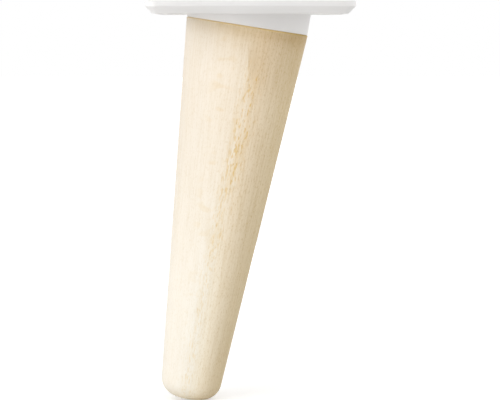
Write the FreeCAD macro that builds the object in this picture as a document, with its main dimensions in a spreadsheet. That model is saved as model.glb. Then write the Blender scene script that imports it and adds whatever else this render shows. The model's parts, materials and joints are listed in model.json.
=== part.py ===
"""Slanted, tapered furniture leg: a turned beech leg bolted to a moulded mounting plate.

Millimetres. The origin is the centre of the plate's mounting face and +Z points out of that
face, into the furniture. The leg slants down towards -X in the XZ plane.
"""
import FreeCAD, Part
import math
import os
import Sketcher

os.makedirs("parts", exist_ok=True)
doc = FreeCAD.newDocument("slanted_furniture_leg")

# Driving dimensions, in millimetres and degrees
SIZES = {
    # Turned leg
    "leg_tilt": 9.0,  # slant of the leg from the mounting face's normal, in degrees
    "leg_length": 189.6,  # along the leg's axis, from the joint to the flat of the foot
    "leg_top_dia": 61.0,  # at the joint
    "leg_foot_dia": 29.0,  # where the taper would meet the flat of the foot, before rounding
    "foot_round": 9.0,  # radius that rounds the foot's edge
    "wood_edge": 0.5,  # eased edge round the leg's top

    # Moulded plate and its collar
    "plate_side": 100.0,  # square plate
    "plate_corner": 6.0,  # radius of its corners
    "plate_thick": 6.0,  # height of the plate without its collar
    "plate_bevel": 3.5,  # 45 degree bevel round the underside
    "plate_edge": 0.6,  # rounding of the bevel's two edges
    "collar_low_side": 1.0,  # height of the wedge at its low side
    "collar_step": 0.15,  # the wood stands this far proud of the collar, all round
    "collar_edge": 0.3,  # eased edge round the collar's seat

    # Cored back of the plate
    "rim_wall": 4.0,  # wall round the back
    "rim_core_corner": 3.0,  # corner radius inside that wall
    "plate_skin": 2.5,  # what the cores leave over the underside
    "collar_wall": 3.0,  # wall round the collar's core
    "collar_floor": 3.0,  # what the core leaves over the leg's seat
    "rib_thick": 1.8,  # ribs between the cores
    "outer_ribs": 16,  # radial ribs between the collar and the rim
    "inner_ribs": 8,  # radial ribs between the centre boss and the collar's wall
    "centre_boss_dia": 25.0,  # boss round the nut's recess
    "nut_recess_dia": 19.0,  # room for the nut's socket spanner
    "bolt_seat": 4.0,  # thickness under the washer
    "bolt_hole_dia": 8.6,  # clearance hole for the bolt

    # Four screw holes that fix the plate to the furniture
    "screw_inset": 12.0,  # each screw hole from the two nearest sides of the plate
    "screw_boss_dia": 14.0,  # boss round a screw hole
    "screw_hole_dia": 5.0,  # clearance for a wood screw
    "countersink_dia": 9.6,  # 90 degree countersink in the underside

    # Bolt, washer and nut that hold the leg to the plate
    "bolt_dia": 8.0,  # hanger bolt
    "bolt_in_leg": 42.0,  # length of wood thread in the leg
    "bolt_point": 5.0,  # length of the tapered point
    "bolt_tip_dia": 2.0,  # flat at the end of the point
    "bolt_edge": 0.9,  # bevel at the end that takes the nut
    "bolt_past_nut": 1.2,  # end that shows past the nut
    "thread_gap": 0.05,  # radial gap on the threads
    "drill_past_bolt": 3.0,  # pilot hole deeper than the bolt
    "washer_hole_dia": 8.4,  # flat washer
    "washer_dia": 16.0,  # flat washer
    "washer_thick": 1.6,  # flat washer
    "nut_flats": 13.0,  # across the flats
    "nut_height": 4.0,  # thin nut
    "nut_chamfer": 0.8,  # height of the bevel on the nut's corners
}

sheet = doc.addObject("Spreadsheet::Sheet", "sizes")
for row, (alias, value) in enumerate(SIZES.items(), start=1):
    sheet.set("A%d" % row, alias)
    sheet.set("B%d" % row, str(value))
    sheet.setAlias("B%d" % row, alias)
doc.recompute()

# Expressions that several pieces share
SIN_TILT = "sin(sizes.leg_tilt * 1deg)"
COS_TILT = "cos(sizes.leg_tilt * 1deg)"
TAN_TILT = "tan(sizes.leg_tilt * 1deg)"
COLLAR_RADIUS = "(sizes.leg_top_dia / 2 - sizes.collar_step)"
THREAD_RADIUS = "(sizes.bolt_dia / 2 + sizes.thread_gap)"
JOINT_DEPTH = "(sizes.plate_thick + sizes.collar_low_side + %s * %s)" % (COLLAR_RADIUS, SIN_TILT)
BACK_TO_JOINT = "((%s + sizes.leg_top_dia * %s) / %s)" % (JOINT_DEPTH, SIN_TILT, COS_TILT)
CORE_DEPTH = "(sizes.plate_thick - sizes.plate_skin)"
TOOL_REACH = "(%s + sizes.plate_side / 2)" % JOINT_DEPTH
UNDER_NUT = "(sizes.bolt_seat + sizes.washer_thick)"
BOLT_STAND = "(%s + sizes.nut_height + sizes.bolt_past_nut)" % UNDER_NUT
SCREW_REACH = "(sizes.plate_side / 2 - sizes.screw_inset)"

# How near a point counts as on a face, and how far a cutter runs past what it cuts
TOUCH = 0.01
OVERRUN = 1.0


def number(expression):
    """Present value of an expression, for a sketch's first shape."""
    value = sheet.evalExpression(expression)
    return float(getattr(value, "Value", value))


def bind(thing, **expressions):
    """Ties properties of an object to expressions over the sheet."""
    for name, expression in expressions.items():
        thing.setExpression(name, expression)
    return thing


def place(thing, x="0", y="0", z="0"):
    """Ties an object's position to expressions."""
    thing.setExpression("Placement.Base.x", x)
    thing.setExpression("Placement.Base.y", y)
    thing.setExpression("Placement.Base.z", z)
    return thing


def place_on_axis(thing, past_joint="0"):
    """Lays an object's own +Z down the leg's axis, its origin so far past the joint."""
    turn = FreeCAD.Rotation(FreeCAD.Vector(0, -1, 0), 180 - number("sizes.leg_tilt"))
    thing.Placement = FreeCAD.Placement(FreeCAD.Vector(), turn)
    thing.setExpression("Placement.Rotation.Angle", "180 - sizes.leg_tilt")
    x = "-%s * %s - (%s) * %s" % (JOINT_DEPTH, TAN_TILT, past_joint, SIN_TILT)
    z = "-%s - (%s) * %s" % (JOINT_DEPTH, past_joint, COS_TILT)
    return place(thing, x=x, z=z)


def new_body(name):
    body = doc.addObject("PartDesign::Body", name)
    body.Label = name
    return body


def new_sketch(body, name, role):
    """Sketch on one of the body's own origin planes."""
    sketch = body.newObject("Sketcher::SketchObject", name)
    plane = next(feature for feature in body.Origin.OriginFeatures if feature.Role == role)
    sketch.AttachmentSupport = (plane, [""])
    sketch.MapMode = "FlatFace"
    return sketch


def measure(sketch, kind, *references, expression):
    """Adds a dimension to a sketch and ties it to an expression."""
    index = sketch.addConstraint(Sketcher.Constraint(kind, *references, number(expression)))
    sketch.setExpression("Constraints[%d]" % index, expression)


def closed_lines(sketch, corners):
    """Straight lines through the corners in turn, joined end to end."""
    count = len(corners)
    for k in range(count):
        start = FreeCAD.Vector(*corners[k], 0)
        end = FreeCAD.Vector(*corners[(k + 1) % count], 0)
        sketch.addGeometry(Part.LineSegment(start, end))
    for k in range(count):
        sketch.addConstraint(Sketcher.Constraint("Coincident", k, 2, (k + 1) % count, 1))


def turned_body(name, profile):
    """Revolves a closed profile of (radius, height) expressions round the body's Z axis."""
    body = new_body(name)
    sketch = new_sketch(body, name + "_profile", "XZ_Plane")
    closed_lines(sketch, [(number(radius), number(height)) for radius, height in profile])
    for k, (radius, height) in enumerate(profile):
        if radius == "0":
            sketch.addConstraint(Sketcher.Constraint("PointOnObject", k, 1, -2))
        else:
            measure(sketch, "DistanceX", -1, 1, k, 1, expression=radius)
        if height == "0":
            sketch.addConstraint(Sketcher.Constraint("PointOnObject", k, 1, -1))
        else:
            measure(sketch, "DistanceY", -1, 1, k, 1, expression=height)
    turned = body.newObject("PartDesign::Revolution", name + "_turned")
    turned.Profile = sketch
    turned.ReferenceAxis = (sketch, ["V_Axis"])
    turned.Angle = 360
    doc.recompute()
    return body


def square_sketch(body, name, side):
    """Square centred on the body's origin, in its XY plane."""
    sketch = new_sketch(body, name, "XY_Plane")
    half = number(side) / 2
    closed_lines(sketch, [(-half, -half), (half, -half), (half, half), (-half, half)])
    for line, direction in enumerate(("Horizontal", "Vertical", "Horizontal", "Vertical")):
        sketch.addConstraint(Sketcher.Constraint(direction, line))
    sketch.addConstraint(Sketcher.Constraint("Symmetric", 0, 1, 2, 1, -1, 1))
    measure(sketch, "DistanceX", 0, 1, 0, 2, expression=side)
    measure(sketch, "DistanceY", 1, 1, 1, 2, expression=side)
    return sketch


def pad_down(body, name, sketch, length):
    pad = body.newObject("PartDesign::Pad", name)
    pad.Profile = sketch
    pad.Reversed = True
    bind(pad, Length=length)
    doc.recompute()
    return pad


def edges_where(feature, test):
    """Names of the feature's edges whose sample points all pass the test."""
    names = []
    for index, edge in enumerate(feature.Shape.Edges, start=1):
        first, last = edge.ParameterRange
        samples = [edge.valueAt(first + (last - first) * k / 4) for k in range(5)]
        if not edge.Degenerated and all(test(point) for point in samples):
            names.append("Edge%d" % index)
    return names


def dress(body, kind, name, base, edges, **expressions):
    """Fillets or chamfers some edges of the body's last feature."""
    feature = body.newObject(kind, name)
    feature.Base = (base, edges)
    bind(feature, **expressions)
    doc.recompute()
    return feature


def rounded_block(name, side, corner, depth):
    """Square block with rounded corners, from the mounting face down."""
    body = new_body(name)
    pad = pad_down(body, name + "_pad", square_sketch(body, name + "_outline", side), depth)
    half = number(side) / 2
    corners = edges_where(pad, lambda p: min(abs(p.x), abs(p.y)) > half - TOUCH)
    dress(body, "PartDesign::Fillet", name + "_corners", pad, corners, Radius=corner)
    return body


def radial_ribs(name, count):
    """Upright ribs that radiate from the centre and hang down from the mounting face."""
    body = new_body(name)
    sketch = new_sketch(body, name + "_outline", "XY_Plane")
    reach = number("sizes.plate_side")
    half = number("sizes.rib_thick") / 2
    closed_lines(sketch, [(0, -half), (reach, -half), (reach, half), (0, half)])
    for line, direction in enumerate(("Horizontal", "Vertical", "Horizontal", "Vertical")):
        sketch.addConstraint(Sketcher.Constraint(direction, line))
    sketch.addConstraint(Sketcher.Constraint("Symmetric", 0, 1, 3, 1, -1, 1))
    measure(sketch, "DistanceX", 0, 1, 0, 2, expression="sizes.plate_side")
    measure(sketch, "DistanceY", 1, 1, 1, 2, expression="sizes.rib_thick")
    rib = pad_down(body, name + "_rib", sketch, TOOL_REACH)
    ring = body.newObject("PartDesign::PolarPattern", name + "_ring")
    ring.Originals = [rib]
    ring.Axis = (sketch, ["N_Axis"])
    ring.Angle = 360
    bind(ring, Occurrences=count)
    body.Tip = ring
    doc.recompute()
    return body


def cylinder(name, radius, height):
    return bind(doc.addObject("Part::Cylinder", name), Radius=radius, Height=height)


def fuse(name, shapes):
    result = doc.addObject("Part::MultiFuse", name)
    result.Shapes = shapes
    return result


def cut(name, base, tool):
    result = doc.addObject("Part::Cut", name)
    result.Base = base
    result.Tool = tool
    return result


def turned_leg():
    """Tapered leg, turned from one blank and drilled up its axis for the bolt."""
    drill = "(sizes.bolt_in_leg + sizes.drill_past_bolt)"
    body = turned_body("leg", [
        (THREAD_RADIUS, "0"),
        ("sizes.leg_top_dia / 2", "0"),
        ("sizes.leg_foot_dia / 2", "sizes.leg_length"),
        ("0", "sizes.leg_length"),
        ("0", "%s + %s" % (drill, THREAD_RADIUS)),
        (THREAD_RADIUS, drill),
    ])
    foot_radius = number("sizes.leg_foot_dia / 2")
    top_radius = number("sizes.leg_top_dia / 2")
    turned = body.Tip
    foot = edges_where(turned, lambda p: abs(math.hypot(p.x, p.y) - foot_radius) < TOUCH)
    rounded = dress(body, "PartDesign::Fillet", "foot_rounding", turned, foot, Radius="sizes.foot_round")
    top = edges_where(rounded, lambda p: abs(math.hypot(p.x, p.y) - top_radius) < TOUCH)
    dress(body, "PartDesign::Chamfer", "top_easing", rounded, top, Size="sizes.wood_edge")
    return place_on_axis(body)


def plate_blank():
    """Outside of the moulding: bevelled square plate with a wedge-shaped collar for the leg."""
    body = rounded_block("plate_blank", "sizes.plate_side", "sizes.plate_corner", "sizes.plate_thick")
    under = -number("sizes.plate_thick")
    rim = under + number("sizes.plate_bevel")
    lower = edges_where(body.Tip, lambda p: abs(p.z - under) < TOUCH)
    bevel = dress(body, "PartDesign::Chamfer", "plate_bevelling", body.Tip, lower, Size="sizes.plate_bevel")
    sharp = edges_where(bevel, lambda p: min(abs(p.z - under), abs(p.z - rim)) < TOUCH)
    dress(body, "PartDesign::Fillet", "plate_edges", bevel, sharp, Radius="sizes.plate_edge")

    # The collar is a round post in line with the leg, from the leg's seat up through the plate
    seat = new_sketch(body, "collar_outline", "XY_Plane")
    seat.addGeometry(Part.Circle(FreeCAD.Vector(), FreeCAD.Vector(0, 0, 1), number(COLLAR_RADIUS)))
    seat.addConstraint(Sketcher.Constraint("Coincident", 0, 3, -1, 1))
    measure(seat, "Radius", 0, expression=COLLAR_RADIUS)
    seat.AttachmentOffset = FreeCAD.Placement(
        FreeCAD.Vector(), FreeCAD.Rotation(FreeCAD.Vector(0, 1, 0), number("sizes.leg_tilt")))
    seat.setExpression("AttachmentOffset.Rotation.Angle", "sizes.leg_tilt")
    seat.setExpression("AttachmentOffset.Base.x", "-%s * %s" % (JOINT_DEPTH, TAN_TILT))
    seat.setExpression("AttachmentOffset.Base.z", "-" + JOINT_DEPTH)
    post = body.newObject("PartDesign::Pad", "collar_post")
    post.Profile = seat
    bind(post, Length=BACK_TO_JOINT)
    doc.recompute()

    # What stands above the mounting face comes off
    trim = body.newObject("PartDesign::Pocket", "collar_trim")
    trim.Profile = square_sketch(body, "trim_outline", "sizes.plate_side")
    trim.Type = "ThroughAll"
    trim.Reversed = True
    doc.recompute()

    tilt = math.radians(number("sizes.leg_tilt"))
    joint = number(JOINT_DEPTH)

    def on_seat(point):
        """True on the plane of the leg's seat."""
        along = (point.x + joint * math.tan(tilt)) * math.sin(tilt) + (point.z + joint) * math.cos(tilt)
        return abs(along) < TOUCH

    rim_of_seat = edges_where(trim, on_seat)
    dress(body, "PartDesign::Chamfer", "collar_easing", trim, rim_of_seat, Size="sizes.collar_edge")
    return body


def flat_cores():
    """Shallow cores in the plate's back, between the collar, the rim, the ribs and the screw bosses."""
    hollow = rounded_block(
        "back_hollow", "sizes.plate_side - 2 * sizes.rim_wall", "sizes.rim_core_corner", CORE_DEPTH)
    kept = [radial_ribs("outer_rib_set", "sizes.outer_ribs")]
    kept.append(place(cylinder("collar_top", COLLAR_RADIUS, TOOL_REACH), z="-" + TOOL_REACH))
    for k, (x, y) in enumerate(SCREW_CENTRES):
        boss = cylinder("screw_boss_%d" % k, "sizes.screw_boss_dia / 2", TOOL_REACH)
        kept.append(place(boss, x=x, y=y, z="-" + TOOL_REACH))
    return cut("flat_cores", hollow, fuse("kept_round_flat_cores", kept))


def collar_cores():
    """Deep cores over the wedge: upright walls, and a floor parallel to the leg's seat."""
    hollow = cylinder("collar_hollow", COLLAR_RADIUS + " - sizes.collar_wall", TOOL_REACH)
    place(hollow, x="-%s * %s / 2" % (JOINT_DEPTH, TAN_TILT), z="-" + TOOL_REACH)
    floor = cylinder("collar_floor_block", "sizes.plate_side", TOOL_REACH)
    place_on_axis(floor, "-sizes.collar_floor")
    boss = cylinder("centre_boss", "sizes.centre_boss_dia / 2", BACK_TO_JOINT)
    place_on_axis(boss, "-" + BACK_TO_JOINT)
    ribs = radial_ribs("inner_rib_set", "sizes.inner_ribs")
    return cut("collar_cores", hollow, fuse("kept_round_collar_cores", [floor, boss, ribs]))


def screw_hole(k, x, y):
    """Countersunk hole, its cone open to the underside."""
    through = "sizes.plate_thick + 2 * %g" % OVERRUN
    shank = cylinder("screw_shank_%d" % k, "sizes.screw_hole_dia / 2", through)
    place(shank, x=x, y=y, z="-sizes.plate_thick - %g" % OVERRUN)
    cone = doc.addObject("Part::Cone", "countersink_%d" % k)
    bind(cone, Radius1="sizes.countersink_dia / 2", Radius2="sizes.screw_hole_dia / 2",
         Height="(sizes.countersink_dia - sizes.screw_hole_dia) / 2")
    place(cone, x=x, y=y, z="-sizes.plate_thick")
    return [shank, cone]


def mounting_plate():
    """Plate moulded in one piece: the blank less its cores, screw holes and bolt recess."""
    cutters = [flat_cores(), collar_cores()]
    for k, (x, y) in enumerate(SCREW_CENTRES):
        cutters += screw_hole(k, x, y)
    recess = cylinder("nut_recess", "sizes.nut_recess_dia / 2", BACK_TO_JOINT + " - sizes.bolt_seat")
    cutters.append(place_on_axis(recess, "-" + BACK_TO_JOINT))
    hole = cylinder("bolt_hole", "sizes.bolt_hole_dia / 2", "sizes.bolt_seat + 2 * %g" % OVERRUN)
    cutters.append(place_on_axis(hole, "-sizes.bolt_seat - %g" % OVERRUN))
    plate = cut("mounting_plate_moulding", plate_blank(), fuse("plate_cutters", cutters))
    plate.Label = "mounting_plate"
    return plate


def hanger_bolt():
    """Bolt with a wood thread in the leg and a nut's thread through the plate."""
    length = "(%s + sizes.bolt_in_leg)" % BOLT_STAND
    radius = "sizes.bolt_dia / 2"
    body = turned_body("hanger_bolt", [
        ("0", "0"),
        (radius + " - sizes.bolt_edge", "0"),
        (radius, "sizes.bolt_edge"),
        (radius, length + " - sizes.bolt_point"),
        ("sizes.bolt_tip_dia / 2", length),
        ("0", length),
    ])
    return place_on_axis(body, "-" + BOLT_STAND)


def flat_washer():
    body = turned_body("washer", [
        ("sizes.washer_hole_dia / 2", "0"),
        ("sizes.washer_dia / 2", "0"),
        ("sizes.washer_dia / 2", "sizes.washer_thick"),
        ("sizes.washer_hole_dia / 2", "sizes.washer_thick"),
    ])
    return place_on_axis(body, "-" + UNDER_NUT)


def hex_nut():
    """Six-sided bar crossed with a turned blank that bevels its corners and bores it."""
    corner = "sizes.nut_flats / sqrt(3)"
    bevelled = corner + " - sizes.nut_chamfer / tan(30deg)"
    bar = doc.addObject("Part::Prism", "nut_bar")
    bar.Polygon = 6
    bind(bar, Circumradius=corner, Height="sizes.nut_height")
    place_on_axis(bar, "-(%s + sizes.nut_height)" % UNDER_NUT)
    blank = turned_body("nut_blank", [
        (THREAD_RADIUS, "0"),
        (bevelled, "0"),
        (corner, "sizes.nut_chamfer"),
        (corner, "sizes.nut_height - sizes.nut_chamfer"),
        (bevelled, "sizes.nut_height"),
        (THREAD_RADIUS, "sizes.nut_height"),
    ])
    place_on_axis(blank, "-(%s + sizes.nut_height)" % UNDER_NUT)
    nut = doc.addObject("Part::Common", "nut_finished")
    nut.Base = bar
    nut.Tool = blank
    nut.Label = "hex_nut"
    return nut


SCREW_CENTRES = [(x + SCREW_REACH, y + SCREW_REACH) for x in ("", "-") for y in ("", "-")]

sub_parts = [turned_leg(), mounting_plate(), hanger_bolt(), flat_washer(), hex_nut()]
doc.recompute()

# Nothing is written unless the whole document worked
for thing in doc.Objects:
    if "Invalid" in thing.State or "Error" in thing.State:
        raise RuntimeError("failed object: " + thing.Name)
for sub_part in sub_parts:
    if sub_part.Shape.isNull() or not sub_part.Shape.isValid():
        raise RuntimeError("bad shape: " + sub_part.Label)
for sub_part in sub_parts:
    sub_part.Shape.exportStep("parts/%s.step" % sub_part.Label)
    box = sub_part.Shape.BoundBox
    print("%-15s %d solid, %.0f mm3, X %.2f to %.2f, Z %.2f to %.2f" % (
        sub_part.Label, len(sub_part.Shape.Solids), sub_part.Shape.Volume,
        box.XMin, box.XMax, box.ZMin, box.ZMax))
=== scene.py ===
"""Slanted, tapered furniture leg: turned beech, bolted to a white moulded plate.

Metres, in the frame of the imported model: +Z points out of the mounting face, into the furniture.
"""

import json
import math

import bpy
import numpy as np
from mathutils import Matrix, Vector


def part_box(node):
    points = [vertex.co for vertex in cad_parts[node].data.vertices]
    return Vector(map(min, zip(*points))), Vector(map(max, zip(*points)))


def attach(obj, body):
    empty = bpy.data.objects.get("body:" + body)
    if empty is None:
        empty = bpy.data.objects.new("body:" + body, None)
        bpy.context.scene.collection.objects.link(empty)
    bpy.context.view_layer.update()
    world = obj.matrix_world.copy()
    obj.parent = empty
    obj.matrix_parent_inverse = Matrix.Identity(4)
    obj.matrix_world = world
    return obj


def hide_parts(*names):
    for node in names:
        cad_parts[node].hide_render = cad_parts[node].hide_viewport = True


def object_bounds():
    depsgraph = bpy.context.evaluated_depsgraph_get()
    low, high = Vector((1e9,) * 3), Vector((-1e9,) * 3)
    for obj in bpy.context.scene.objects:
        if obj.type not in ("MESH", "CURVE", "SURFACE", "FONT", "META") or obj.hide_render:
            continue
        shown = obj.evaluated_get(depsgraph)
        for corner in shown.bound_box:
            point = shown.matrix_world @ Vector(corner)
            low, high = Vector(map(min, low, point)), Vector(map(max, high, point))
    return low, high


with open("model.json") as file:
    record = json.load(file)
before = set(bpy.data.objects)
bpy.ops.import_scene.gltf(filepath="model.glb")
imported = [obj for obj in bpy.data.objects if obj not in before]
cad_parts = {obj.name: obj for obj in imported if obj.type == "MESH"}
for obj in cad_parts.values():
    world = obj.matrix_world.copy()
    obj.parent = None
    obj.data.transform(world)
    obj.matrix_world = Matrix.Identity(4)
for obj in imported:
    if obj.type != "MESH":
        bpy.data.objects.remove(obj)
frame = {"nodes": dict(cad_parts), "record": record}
cad_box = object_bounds()


# The picture is taken with a long lens from almost a metre away. The lens stands level with the
# plate, so that the plate is seen edge on, and is tipped down to take in the foot.
CAMERA_PLACE = (0.0062, -0.916, -0.01244)
CAMERA_TIP = math.radians(5.39)
CAMERA_TURN = math.radians(0.42)
CAMERA_LENS = 131.8

camera = bpy.data.objects.new("camera", bpy.data.cameras.new("camera"))
camera.data.lens = CAMERA_LENS
camera.location = CAMERA_PLACE
camera.rotation_euler = (math.pi / 2 - CAMERA_TIP, 0, CAMERA_TURN)
bpy.context.scene.collection.objects.link(camera)
bpy.context.scene.camera = camera
bpy.context.scene.view_settings.view_transform = "Standard"


# Leg: one blank of beech, turned to a straight taper, its foot rounded over and its top edge
# eased. A pilot hole for the bolt runs up its axis from the top. Sanded, with a clear matt finish.
LEG_LENGTH = 0.1896
LEG_TOP_RADIUS = 0.0305
LEG_FOOT_RADIUS = 0.0145
FOOT_ROUND = 0.009
TOP_EASE = 0.0005
PILOT_RADIUS = 0.00405
PILOT_DEPTH = 0.045
TAPER_RINGS = 64
FOOT_RINGS = 24
LEG_SIDES = 192
# How far the top edge's end grain reaches down the taper, and the share of it on the foot's flat
END_GRAIN_REACH = 0.0005
FOOT_END_GRAIN = 0.7
# How far the grain follows the taper: 0 keeps it parallel to the axis, 1 lets it run to a point
GRAIN_FAN = 0.5

foot_mount = next(mount for mount in frame["record"]["mounts"] if mount["name"] == "foot_face")
leg_down = np.array(foot_mount["axis"])
leg_down /= np.linalg.norm(leg_down)
leg_front = np.array([0.0, -1.0, 0.0])
leg_across = np.cross(leg_front, leg_down)
leg_joint = np.array(foot_mount["pos_m"]) - LEG_LENGTH * leg_down
LEG_FRAME = np.stack([leg_across, leg_front, leg_down])


def taper_radius(height):
    """Straight taper: the top radius less the same share of the length for every step down."""
    return LEG_TOP_RADIUS + (LEG_FOOT_RADIUS - LEG_TOP_RADIUS) * height / LEG_LENGTH


def leg_profile():
    """Radius, height and share of end grain down the leg, from the pilot hole's point to the foot.

    The foot is an arc whose centre lies one FOOT_ROUND inside the taper and above the foot's flat.
    Its end grain grows with the cube of the sine of the angle that the arc has turned.
    """
    lean = math.atan((LEG_TOP_RADIUS - LEG_FOOT_RADIUS) / LEG_LENGTH)
    arc_height = LEG_LENGTH - FOOT_ROUND
    arc_radius = taper_radius(arc_height) - FOOT_ROUND / math.cos(lean)
    turn = np.linspace(lean, math.pi / 2, FOOT_RINGS)
    arc = np.stack([
        arc_radius + FOOT_ROUND * np.cos(turn),
        arc_height + FOOT_ROUND * np.sin(turn),
        FOOT_END_GRAIN * np.sin(turn) ** 3,
    ], axis=1)
    eased = TOP_EASE * math.cos(lean)
    heights = np.linspace(eased, arc[0, 1], TAPER_RINGS, endpoint=False)
    heights = np.insert(heights, 1, eased + END_GRAIN_REACH)
    taper = np.stack([taper_radius(heights), heights, np.zeros_like(heights)], axis=1)
    taper[0, 2] = 1
    top = np.array([
        [0, PILOT_DEPTH + PILOT_RADIUS, 1],
        [PILOT_RADIUS, PILOT_DEPTH, 0],
        [PILOT_RADIUS, 0, 1],
        [LEG_TOP_RADIUS - TOP_EASE, 0, 1],
    ])
    return np.concatenate([top, taper, arc, [[0, LEG_LENGTH, FOOT_END_GRAIN]]])


def turned_mesh(name, profile, sides):
    """Closed surface of revolution: (r cos t, r sin t, h) for each (r, h) of the profile.

    The angle t goes all round in even steps, one for each side. The profile begins and ends on the
    axis, where a fan of triangles closes it.
    """
    turn = np.linspace(0, 2 * math.pi, sides, endpoint=False)
    radius, height = profile[1:-1, 0, None], profile[1:-1, 1, None]
    heights = np.broadcast_to(height, (len(radius), sides))
    rings = np.stack([radius * np.cos(turn), radius * np.sin(turn), heights], axis=-1)
    rings = rings.reshape(-1, 3)
    poles = np.array([[0, 0, profile[0, 1]], [0, 0, profile[-1, 1]]])
    here = np.arange(len(rings)).reshape(len(radius), sides)
    beside = np.roll(here, -1, axis=1)
    quads = np.stack([here[:-1], beside[:-1], beside[1:], here[1:]], axis=-1).reshape(-1, 4)
    first, last = len(rings), len(rings) + 1
    start = np.stack([np.full(sides, first), beside[0], here[0]], axis=-1)
    end = np.stack([np.full(sides, last), here[-1], beside[-1]], axis=-1)
    mesh = bpy.data.meshes.new(name)
    faces = quads.tolist() + start.tolist() + end.tolist()
    mesh.from_pydata(np.concatenate([rings, poles]).tolist(), [], faces)
    return mesh


def mesh_points(mesh):
    """Places of a mesh's points, one row for each."""
    points = np.empty(len(mesh.vertices) * 3)
    mesh.vertices.foreach_get("co", points)
    return points.reshape(-1, 3)


def finished_piece(mesh, points, material, sharp=30):
    """Sets the places of a mesh's points and shows it, smooth but for edges past the sharp angle.

    The angle is in degrees, between the normals of the two faces.
    """
    mesh.vertices.foreach_set("co", points.ravel())
    mesh.shade_smooth()
    mesh.set_sharp_from_angle(angle=math.radians(sharp))
    mesh.materials.append(material)
    mesh.update()
    piece = bpy.data.objects.new(mesh.name, mesh)
    bpy.context.scene.collection.objects.link(piece)
    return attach(piece, "root")


class Finish:
    """A material in the making: its node tree, and short ways to add the nodes it is made of."""

    def __init__(self, name):
        self.material = bpy.data.materials.new(name)
        self.material.use_nodes = True
        self.tree = self.material.node_tree
        self.surface = self.tree.nodes["Principled BSDF"]

    def feed(self, socket, value):
        """Joins a node's output to a socket, or sets the socket to a number, vector or colour."""
        if isinstance(value, bpy.types.NodeSocket):
            self.tree.links.new(value, socket)
        elif socket.type == "RGBA":
            socket.default_value = (*value, 1)
        else:
            socket.default_value = value

    def add(self, kind, inputs, output, **settings):
        """Adds a node, feeds its inputs and returns one of its outputs."""
        node = self.tree.nodes.new(kind)
        for name, value in settings.items():
            setattr(node, name, value)
        for name, value in inputs.items():
            self.feed(node.inputs[name], value)
        return node.outputs[output]

    def skin(self, inputs):
        """Feeds the inputs of the surface's own shader."""
        for name, value in inputs.items():
            self.feed(self.surface.inputs[name], value)

    def attribute(self, name, output):
        """Reads one of the values that the mesh carries at its points."""
        return self.add("ShaderNodeAttribute", {}, output, attribute_name=name)

    def noise(self, place, marks, squeeze=(1, 1, 1), detail=2, roughness=0.5):
        """Noise with so many marks per metre, times the squeeze along each axis."""
        squeezed = self.add("ShaderNodeMapping", {"Vector": place, "Scale": squeeze}, "Vector")
        inputs = {"Vector": squeezed, "Scale": marks, "Detail": detail, "Roughness": roughness}
        return self.add("ShaderNodeTexNoise", inputs, "Fac")

    def ramp(self, value, low, high, start=0.0, end=1.0):
        """Goes smoothly from start to end as the value goes from low to high."""
        inputs = {"Value": value, "From Min": low, "From Max": high}
        inputs |= {"To Min": start, "To Max": end}
        return self.add("ShaderNodeMapRange", inputs, "Result", interpolation_type="SMOOTHSTEP")

    def maths(self, operation, first, second):
        """Sum, difference, product or another of two values."""
        return self.add("ShaderNodeMath", {0: first, 1: second}, 0, operation=operation)

    def times(self, first, *others):
        """Product of two or more values."""
        for other in others:
            first = self.maths("MULTIPLY", first, other)
        return first

    def apart(self, first, second):
        """How far apart two values are, whichever is the larger."""
        return self.maths("ABSOLUTE", self.maths("SUBTRACT", first, second), 0)

    def tint(self, amount, under, over, blend="MIX"):
        """Goes from the colour under to the colour over, or to their product, by the amount."""
        inputs = {0: amount, 6: under, 7: over}
        return self.add("ShaderNodeMix", inputs, 2, data_type="RGBA", blend_type=blend)

    def raise_by(self, height, distance):
        """Bumps the surface by the height, whose full range is the distance."""
        bump = self.add("ShaderNodeBump", {"Height": height, "Distance": distance}, "Normal")
        self.skin({"Normal": bump})


# Each look of the wood is a ramp across or down the leg: where it begins, where it ends, and then
# its value at both ends, if they aren't 0 and 1. Across runs from -1 at the outline on the pale,
# lit side to 1 at the shaded one, and down is in metres from the joint.
# The pale colour is a painted highlight on the lit side; the tan is part wood tone, part painted
# shade
PALE_LIT_SIDE_BEECH = (0.815, 0.737, 0.63)
MIDDLE_BEECH = (0.94, 0.835, 0.69)
WARM_BEECH = (0.95, 0.815, 0.64)
TAN_SHADED_SIDE_BEECH = (0.62, 0.50, 0.305)
FOOT_BEECH = (0.99, 0.945, 0.848)
WARM_FOOT_BEECH = (1.0, 0.905, 0.715)
MIDDLE_ACROSS = (-0.7, 0.0)
WARM_ACROSS = (0.0, 0.4)
TAN_ACROSS = (0.12, 1.1)
FOOT_PALING_DOWN = (0.03, 0.17, 0, 0.88)
PALEST_PLACE = -0.05
PALING_BESIDE = (0.1, 0.6, 1, 0.72)
WARM_FOOT_ACROSS = (-0.18, 0.42)


def ground_tone(wood, side, down):
    """Colour of the wood between its marks.

    It goes from a pale, washed-out colour at one outline, a painted highlight on the lit side,
    through a warm middle to tan at the other, part the wood's own tone and part painted shade, and
    is paler again towards the foot, most of all near the middle.
    """
    colour = wood.tint(wood.ramp(side, *MIDDLE_ACROSS), PALE_LIT_SIDE_BEECH, MIDDLE_BEECH)
    colour = wood.tint(wood.ramp(side, *WARM_ACROSS), colour, WARM_BEECH)
    beside = wood.ramp(wood.apart(side, PALEST_PLACE), *PALING_BESIDE)
    paling = wood.times(wood.ramp(down, *FOOT_PALING_DOWN), beside)
    foot = wood.tint(wood.ramp(side, *WARM_FOOT_ACROSS), FOOT_BEECH, WARM_FOOT_BEECH)
    colour = wood.tint(paling, colour, foot)
    return wood.tint(wood.ramp(side, *TAN_ACROSS), colour, TAN_SHADED_SIDE_BEECH)


# Painted shadow of the plate on the leg's top, and a darker painted band in its top few
# millimetres
PLATE_SHADOW_DOWN = (-0.008, 0.024, 1, 0)
PLATE_SHADOW_ACROSS = (-1.1, 0.1)
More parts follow.
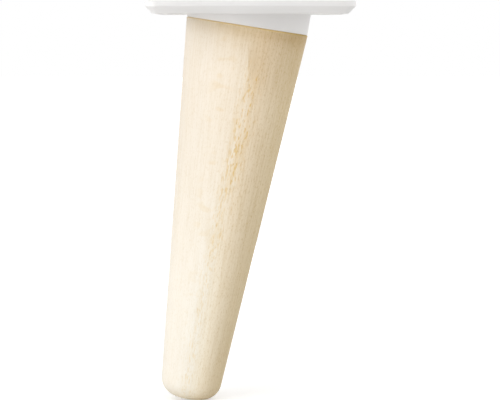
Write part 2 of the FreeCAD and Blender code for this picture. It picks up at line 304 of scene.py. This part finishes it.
# The place across of the ring's edge, and how sharp that edge is
RING_EDGE_DOWN = (0.0, 0.03, 0.03, 0.17)
RING_EDGE_ACROSS = (-0.01, 0.01)
RING_DOWN = (0.014, 0.042, 0.68, 0)
RING_ACROSS = (0.2, 0.75, 1, 0.5)
TOP_SHADOW_DOWN = (0.0, 0.009, 0.45, 0)
TOP_SHADOW_ACROSS = (-0.95, -0.75, 0.4, 1)


def plate_shadow_and_ring_edge(wood, side, down):
    """Strength of the painted shadow that the plate casts on the top of the leg.

    One ring of the tree ends there in a straight edge of its own tone, darker past it in painted
    shade that fades down from the plate, and the top few millimetres are darkest, in painted shade
    too.
    """
    plate_shadow = wood.times(wood.ramp(down, *PLATE_SHADOW_DOWN), wood.ramp(side, *PLATE_SHADOW_ACROSS))
    past_edge = wood.maths("SUBTRACT", side, wood.ramp(down, *RING_EDGE_DOWN))
    ring = wood.times(wood.ramp(down, *RING_DOWN), wood.ramp(side, *RING_ACROSS))
    ring = wood.times(ring, wood.ramp(past_edge, *RING_EDGE_ACROSS))
    top_shadow = wood.times(wood.ramp(down, *TOP_SHADOW_DOWN), wood.ramp(side, *TOP_SHADOW_ACROSS))
    return wood.maths("ADD", wood.maths("MAXIMUM", plate_shadow, ring), top_shadow)


# Marks in the wood are noise: marks per metre across the grain, squeeze, detail and roughness
RINGS = (130, (1, 1, 0.06), 3, 0.55)
STREAKS = (1080, (1, 1, 0.026), 2, 0.6)
PORES = (1350, (1, 1, 0.55), 2, 0.6)
RING_LINES = (0.35, 0.7, 0, 0.16)
STREAK_LINES = (0.4, 0.65, 0, 0.3)
PORE_LINES = (0.5, 0.7, 0, 0.42)
LINES_DOWN = (0.08, 0.15, 1, 0.65)
# The lines fade on the lit side: a painted highlight washes them out
LINES_ACROSS = (-0.4, 0.5, 0.46, 1)


def grain_lines(wood, side, down, streaks, pores):
    """Strength of the tree's rings cut lengthwise, the long streaks and the short dark pores.

    Rings and streaks weaken down the leg, and all three are weaker on the pale side, painted as
    washed out by its highlight.
    """
    rings = wood.noise(wood.attribute("grain", "Vector"), *RINGS)
    lines = wood.maths("ADD", wood.ramp(rings, *RING_LINES), wood.ramp(streaks, *STREAK_LINES))
    lines = wood.times(lines, wood.ramp(down, *LINES_DOWN))
    lines = wood.maths("ADD", lines, wood.ramp(pores, *PORE_LINES))
    return wood.times(lines, wood.ramp(side, *LINES_ACROSS))


# The place across of the band's middle, the fall from there to its edges, and its upper end
BAND_DOWN = (0.02, 0.19, 0.25, -0.12)
BAND_BESIDE = (0.0, 0.3, 1, 0)
BAND_BEGINS = (0.01, 0.028)
FLECKS_THIN_DOWN = (0.06, 0.14, 1, 0.42)
CROWDS = (160, (1, 1, 0.3), 1)
DASHES = (1000, (1, 1, 0.3), 1)
WASH = (330, (1, 1, 0.12), 2)
FLAT_RAYS = (135, (1, 1, 2), 0)
IN_CROWD = (0.3, 0.54)
IN_DASH = (0.52, 0.68)
IN_WASH = (0.4, 0.65, 0, 0.4)
IN_FLAT_RAY = (0.56, 0.74, 0, 0.25)
FLAT_RAY_PLACE = -0.28
FLAT_RAY_BESIDE = (0.05, 0.3, 1, 0)


def ray_flecks(wood, side, down):
    """Strength of the ray flecks, where the wood's rays come to the surface.

    Short golden dashes crowd in a band that drifts over the front of the leg, most of them in its
    upper third. Beside it, where the rays lie flat in the surface, are a few wide patches.
    """
    place = wood.attribute("grain", "Vector")
    thinning = wood.ramp(down, *FLECKS_THIN_DOWN)
    band = wood.ramp(wood.apart(side, wood.ramp(down, *BAND_DOWN)), *BAND_BESIDE)
    crowd = wood.ramp(wood.noise(place, *CROWDS), *IN_CROWD)
    crowd = wood.times(band, crowd, wood.ramp(down, *BAND_BEGINS), thinning)
    dashes = wood.ramp(wood.noise(place, *DASHES), *IN_DASH)
    wash = wood.ramp(wood.noise(place, *WASH), *IN_WASH)
    flecks = wood.times(wood.maths("ADD", dashes, wash), crowd)
    flat_rays = wood.ramp(wood.noise(place, *FLAT_RAYS), *IN_FLAT_RAY)
    beside = wood.ramp(wood.apart(side, FLAT_RAY_PLACE), *FLAT_RAY_BESIDE)
    return wood.maths("MAXIMUM", flecks, wood.times(flat_rays, thinning, beside))


# Shades that the wood's colour is multiplied by
# The first is painted shadow under the plate, over a real ring edge
PLATE_SHADOW_AND_RING_SHADE = (0.80, 0.72, 0.58)
STREAK_SHADE = (0.765, 0.67, 0.47)
FLECK_SHADE = (0.90, 0.765, 0.48)
END_BEECH = (0.76, 0.56, 0.25)
# Painted shade on the eased top edge at the shaded side
SHADED_END_BEECH = (0.45, 0.31, 0.08)
END_STRENGTH_ACROSS = (-1.0, 1.0, 0.45, 1)
SHADED_END_ACROSS = (0.45, 0.95)
BEECH_GLOSS = (0.3, 0.7, 0.48, 0.6)
BEECH_SPECULAR = 0.35
PORE_DEPTH = -0.6
GRAIN_RELIEF = 0.00003


def beech():
    """Beech: pale, with soft streaks, short fine pores, ray flecks and golden end grain."""
    wood = Finish("beech")
    place = wood.attribute("grain", "Vector")
    side = wood.attribute("side", "Fac")
    down = wood.add("ShaderNodeSeparateXYZ", {"Vector": place}, "Z")
    streaks = wood.noise(place, *STREAKS)
    pores = wood.noise(place, *PORES)

    # Pale on the lit side and tan on the other: partly painted light and shade
    colour = ground_tone(wood, side, down)
    # Painted shadow of the plate on the top of the leg, with a real ring edge in it
    colour = wood.tint(plate_shadow_and_ring_edge(wood, side, down), colour, PLATE_SHADOW_AND_RING_SHADE, "MULTIPLY")
    lines = grain_lines(wood, side, down, streaks, pores)
    colour = wood.tint(lines, colour, STREAK_SHADE, "MULTIPLY")
    colour = wood.tint(ray_flecks(wood, side, down), colour, FLECK_SHADE, "MULTIPLY")

    # End grain drinks in the finish and turns golden; towards the shaded side its edge darkens in
    # painted shade
    end_grain = wood.attribute("end_grain", "Fac")
    golden = wood.times(end_grain, wood.ramp(side, *END_STRENGTH_ACROSS))
    end_tone_and_shade = wood.tint(wood.ramp(side, *SHADED_END_ACROSS), END_BEECH, SHADED_END_BEECH)
    wood.skin({
        "Base Color": wood.tint(golden, colour, end_tone_and_shade),
        "Roughness": wood.ramp(pores, *BEECH_GLOSS),
        "Specular IOR Level": BEECH_SPECULAR,
    })
    wood.raise_by(wood.maths("ADD", streaks, wood.times(pores, PORE_DEPTH)), GRAIN_RELIEF)
    return wood.material


# At each point the wood reads its place in the blank, how far across the leg it lies as seen from
# the front, and its share of end grain
profile = leg_profile()
leg_mesh = turned_mesh("turned_leg", profile, LEG_SIDES)
leg_local = mesh_points(leg_mesh)
fan = (LEG_TOP_RADIUS / taper_radius(leg_local[:, 2])) ** GRAIN_FAN
grain = leg_local * np.stack([fan, fan, np.ones_like(fan)], axis=1)
leg_mesh.attributes.new("grain", "FLOAT_VECTOR", "POINT").data.foreach_set("vector", grain.ravel())
side = leg_local[:, 0] / taper_radius(leg_local[:, 2])
leg_mesh.attributes.new("side", "FLOAT", "POINT").data.foreach_set("value", side)
end_grain = np.append(np.repeat(profile[1:-1, 2], LEG_SIDES), profile[[0, -1], 2])
leg_mesh.attributes.new("end_grain", "FLOAT", "POINT").data.foreach_set("value", end_grain)
leg = finished_piece(leg_mesh, leg_joint + leg_local @ LEG_FRAME, beech())
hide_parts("leg")


# Mounting plate: one moulding of white plastic with a satin skin, cored and ribbed at the back,
# with four countersunk screw holes and a wedge-shaped collar that sets the leg's slant.
WHITE_PLASTIC = (0.845, 0.833, 0.821)
WARM_PLASTIC = (0.79, 0.772, 0.752)
PLASTIC_CLOUDS = 25
PLASTIC_SKIN = 4500
IN_CLOUD = (0.35, 0.7, 0, 0.35)
PLASTIC_GLOSS = (0.3, 0.7, 0.46, 0.58)
PLASTIC_SPECULAR = 0.3
PLASTIC_RELIEF = 0.000012


def moulded_plastic():
    """White plastic: almost even in colour, with the fine eroded texture of its mould."""
    plastic = Finish("white_plastic")
    place = plastic.add("ShaderNodeTexCoord", {}, "Object")
    clouds = plastic.noise(place, PLASTIC_CLOUDS)
    skin = plastic.noise(place, PLASTIC_SKIN)
    plastic.skin({
        "Base Color": plastic.tint(plastic.ramp(clouds, *IN_CLOUD), WHITE_PLASTIC, WARM_PLASTIC),
        "Roughness": plastic.ramp(skin, *PLASTIC_GLOSS),
        "Specular IOR Level": PLASTIC_SPECULAR,
    })
    plastic.raise_by(skin, PLASTIC_RELIEF)
    return plastic.material


def refinish(node, material):
    """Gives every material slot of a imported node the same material."""
    for slot in frame["nodes"][node].material_slots:
        slot.material = material


refinish("mounting_plate", moulded_plastic())


# Hanger bolt, washer and thin nut: zinc-plated steel. The bolt is screwed into the leg with its
# coarse thread, and the nut draws its fine end up against the plate's seat.
BOLT_RADIUS = 0.004
BOLT_POINT_RADIUS = 0.001
BOLT_POINT = 0.005
BOLT_EDGE = 0.0009
FINE_END = 0.0155
FINE_PITCH = 0.00125
FINE_DEPTH = 0.00077
COARSE_PITCH = 0.0034
COARSE_DEPTH = 0.0012
# Width of a thread's ridge at its root, as a share of the pitch
FINE_RIDGE = 1
COARSE_RIDGE = 0.45
BOLT_SIDES = 48
BOLT_RINGS = 640
BOLT_SHARP = 40
ZINC = (0.66, 0.67, 0.69)
DULL_ZINC = (0.50, 0.51, 0.53)
ZINC_CLOUDS = (350, (1, 1, 1), 3)
SCRATCHES = (4000, (1, 0.1, 1))
IN_DULL_ZINC = (0.35, 0.7)
ZINC_GLOSS = (0.3, 0.7, 0.24, 0.42)
SCRATCH_RELIEF = 0.000008


def zinc_plated():
    """Bright zinc on steel: faint clouds in colour and gloss, and fine scratches from handling."""
    steel = Finish("plated_steel")
    place = steel.add("ShaderNodeTexCoord", {}, "Object")
    clouds = steel.noise(place, *ZINC_CLOUDS)
    steel.skin({
        "Base Color": steel.tint(steel.ramp(clouds, *IN_DULL_ZINC), ZINC, DULL_ZINC),
        "Roughness": steel.ramp(clouds, *ZINC_GLOSS),
        "Metallic": 1,
    })
    steel.raise_by(steel.noise(place, *SCRATCHES), SCRATCH_RELIEF)
    return steel.material


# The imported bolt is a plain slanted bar, so its box is as tall as its length and its width, each
# times its own share of the slant
steel_finish = zinc_plated()
bolt_low, bolt_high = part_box("hanger_bolt")
bolt_length = (bolt_high.z - bolt_low.z - 2 * BOLT_RADIUS * abs(leg_down[0])) / abs(leg_down[2])


def bolt_radius(height, turn):
    """Core plus thread: a V that winds once round per pitch, fine at the nut, coarse in the wood.

    At both ends the bolt is bevelled, so no point stands outside the plain bar it is rolled from.
    """
    fine = height < FINE_END
    phase = (height / np.where(fine, FINE_PITCH, COARSE_PITCH) - turn / (2 * math.pi)) % 1
    ridge = 1 - np.abs(2 * phase - 1) / np.where(fine, FINE_RIDGE, COARSE_RIDGE)
    depth = np.where(fine, FINE_DEPTH, COARSE_DEPTH)
    threaded = BOLT_RADIUS - depth * (1 - np.clip(ridge, 0, 1))
    bevel = BOLT_RADIUS - BOLT_EDGE + height
    point_slope = (BOLT_RADIUS - BOLT_POINT_RADIUS) / BOLT_POINT
    point = BOLT_POINT_RADIUS + (bolt_length - height) * point_slope
    return np.minimum(threaded, np.minimum(bevel, point))


bar_heights = np.linspace(0, bolt_length, BOLT_RINGS)
bar = np.stack([np.full(BOLT_RINGS, BOLT_RADIUS), bar_heights], axis=1)
bar = np.concatenate([[[0, 0]], bar, [[0, bolt_length]]])
bolt_mesh = turned_mesh("threaded_bolt", bar, BOLT_SIDES)
bolt_local = mesh_points(bolt_mesh)
turn = np.arctan2(bolt_local[:-2, 1], bolt_local[:-2, 0])
bolt_local[:-2, :2] *= (bolt_radius(bolt_local[:-2, 2], turn) / BOLT_RADIUS)[:, None]
bolt_middle = np.array((bolt_low + bolt_high) / 2)
bolt_top = bolt_middle - leg_down * bolt_length / 2
bolt = finished_piece(bolt_mesh, bolt_top + bolt_local @ LEG_FRAME, steel_finish, BOLT_SHARP)
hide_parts("hanger_bolt")
refinish("washer", steel_finish)
refinish("hex_nut", steel_finish)


# Studio: a white sweep under the leg and six soft lamps out of sight: low ones at the left and the
# right, high ones at the front, the left and the right, and one behind. The sweep looks white and
# keeps a faint shadow.
FLOOR_HALF = 6.0
FLOOR_WHITE = (0.74, 0.74, 0.74)
# How far from the middle the sweep's glow begins and stops growing, and its strength there
FLOOR_GLOW = (0.2, 1.2, 0.45, 1.0)
ROOM_LIGHT = 0.32
LAMP_AIM = (0.0, 0.0, -0.06)
LAMP_REACH = 0.65
LAMP_SIDE = 0.35


def seen_directly(tree):
    """Socket that is 1 for rays from the camera, a mirror or glass, and 0 for rays that light."""
    rays = tree.nodes.new("ShaderNodeLightPath")
    total = rays.outputs["Is Camera Ray"]
    for name in ("Is Glossy Ray", "Is Transmission Ray"):
        either = tree.nodes.new("ShaderNodeMath")
        either.operation = "MAXIMUM"
        tree.links.new(total, either.inputs[0])
        tree.links.new(rays.outputs[name], either.inputs[1])
        total = either.outputs[0]
    return total


def sweep_finish():
    """Matt white paper that glows a little where it is looked at, and is clear from below."""
    paper = Finish("white_sweep")
    place = paper.add("ShaderNodeTexCoord", {}, "Object")
    away = paper.add("ShaderNodeVectorMath", {0: place}, "Value", operation="LENGTH")
    glow = paper.times(seen_directly(paper.tree), paper.ramp(away, *FLOOR_GLOW))
    paper.skin({
        "Base Color": FLOOR_WHITE,
        "Roughness": 1,
        "Specular IOR Level": 0,
        "Emission Color": (1, 1, 1),
        "Emission Strength": glow,
    })
    below = paper.add("ShaderNodeNewGeometry", {}, "Backfacing")
    clear = paper.add("ShaderNodeBsdfTransparent", {}, 0)
    sides = {0: below, 1: paper.surface.outputs[0], 2: clear}
    either = paper.add("ShaderNodeMixShader", sides, 0)
    paper.feed(paper.tree.nodes["Material Output"].inputs["Surface"], either)
    return paper.material


floor_height = cad_box[0].z
floor_signs = ((-1, -1), (1, -1), (1, 1), (-1, 1))
floor_corners = [(x * FLOOR_HALF, y * FLOOR_HALF, floor_height) for x, y in floor_signs]
floor_mesh = bpy.data.meshes.new("white_sweep")
floor_mesh.from_pydata(floor_corners, [], [(0, 1, 2, 3)])
floor_mesh.materials.append(sweep_finish())
floor = bpy.data.objects.new("white_sweep", floor_mesh)
bpy.context.scene.collection.objects.link(floor)

# The room is white where it is looked at, and dimmer where it lights
world = bpy.data.worlds.new("studio")
world.use_nodes = True
room = world.node_tree.nodes["Background"]
room.inputs["Color"].default_value = (1, 1, 1, 1)
level = world.node_tree.nodes.new("ShaderNodeMapRange")
world.node_tree.links.new(seen_directly(world.node_tree), level.inputs["Value"])
level.inputs["To Min"].default_value = ROOM_LIGHT
world.node_tree.links.new(level.outputs[0], room.inputs["Strength"])
bpy.context.scene.world = world


def softbox(name, azimuth, height, watts):
    """Square soft lamp on a sphere round LAMP_AIM, facing its middle and hidden from the camera.

    The azimuth is in degrees from the front to the right, the height in degrees above the horizon.
    """
    lamp = bpy.data.lights.new(name, "AREA")
    lamp.size = LAMP_SIDE
    lamp.energy = watts
    box = bpy.data.objects.new(name, lamp)
    box.rotation_euler = (math.radians(90 - height), 0, math.radians(azimuth))
    outwards = box.rotation_euler.to_matrix().col[2]
    box.location = [aim + LAMP_REACH * step for aim, step in zip(LAMP_AIM, outwards)]
    box.visible_camera = False
    bpy.context.scene.collection.objects.link(box)


softbox("left_lamp", azimuth=-50, height=9, watts=2.15)
softbox("high_front_lamp", azimuth=-15, height=40, watts=0.45)
softbox("high_left_lamp", azimuth=-80, height=40, watts=0.8)
softbox("high_right_lamp", azimuth=80, height=40, watts=1.0)
softbox("right_lamp", azimuth=70, height=9, watts=1.25)
softbox("back_lamp", azimuth=175, height=12, watts=1.1)
